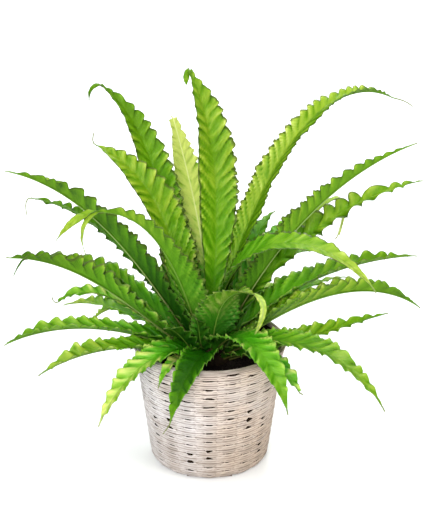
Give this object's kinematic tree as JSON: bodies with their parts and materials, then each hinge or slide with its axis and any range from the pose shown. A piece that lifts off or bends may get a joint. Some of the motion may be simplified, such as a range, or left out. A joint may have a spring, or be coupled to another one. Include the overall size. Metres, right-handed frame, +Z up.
{
  "type": "potted fern",
  "caption": "Bird's-nest fern with long, wavy-edged fronds, in a nursery pot that stands inside a woven split-wood basket.",
  "frame": {"origin": "centre of the basket's underside, on the floor it stands on", "axes": "+Z up along the basket's axis, -Y towards the plant's front, +X to the right of someone who faces the front"},
  "size_m": [0.5016, 0.3751, 0.4834],
  "materials": {
    "weave": "matte",
    "hoop": "matte",
    "stakes": "matte",
    "pot": "satin",
    "soil": "matte",
    "rhizome": "matte",
    "leaf": "satin"
  },
  "bodies": {
    "root": {"basket_wall": "weave", "basket_hoop": "hoop", "basket_floor": "stakes", "basket_stakes_1": "stakes", "basket_stakes_2": "stakes", "basket_stakes_3": "stakes", "basket_stakes_4": "stakes", "grower_pot": "pot", "potting_mix": "soil", "root_crown": "rhizome", "frond_01": "leaf", "frond_02": "leaf", "frond_03": "leaf", "frond_04": "leaf", "frond_05": "leaf", "frond_06": "leaf", "frond_07": "leaf", "frond_08": "leaf", "frond_09": "leaf", "frond_10": "leaf", "frond_11": "leaf", "frond_12": "leaf", "frond_13": "leaf", "frond_14": "leaf", "frond_15": "leaf", "frond_16": "leaf", "frond_17": "leaf", "frond_18": "leaf", "frond_19": "leaf", "frond_20": "leaf", "frond_21": "leaf", "frond_22": "leaf", "frond_23": "leaf", "frond_24": "leaf", "frond_25": "leaf", "frond_26": "leaf", "frond_27": "leaf", "frond_28": "leaf", "frond_29": "leaf", "frond_30": "leaf", "frond_31": "leaf", "frond_32": "leaf", "frond_33": "leaf", "frond_34": "leaf", "frond_35": "leaf", "frond_36": "leaf", "frond_37": "leaf", "frond_38": "leaf", "frond_39": "leaf", "frond_40": "leaf", "frond_41": "leaf", "frond_42": "leaf", "frond_43": "leaf", "frond_44": "leaf", "frond_45": "leaf", "frond_46": "leaf"}
  },
  "joints": []
}
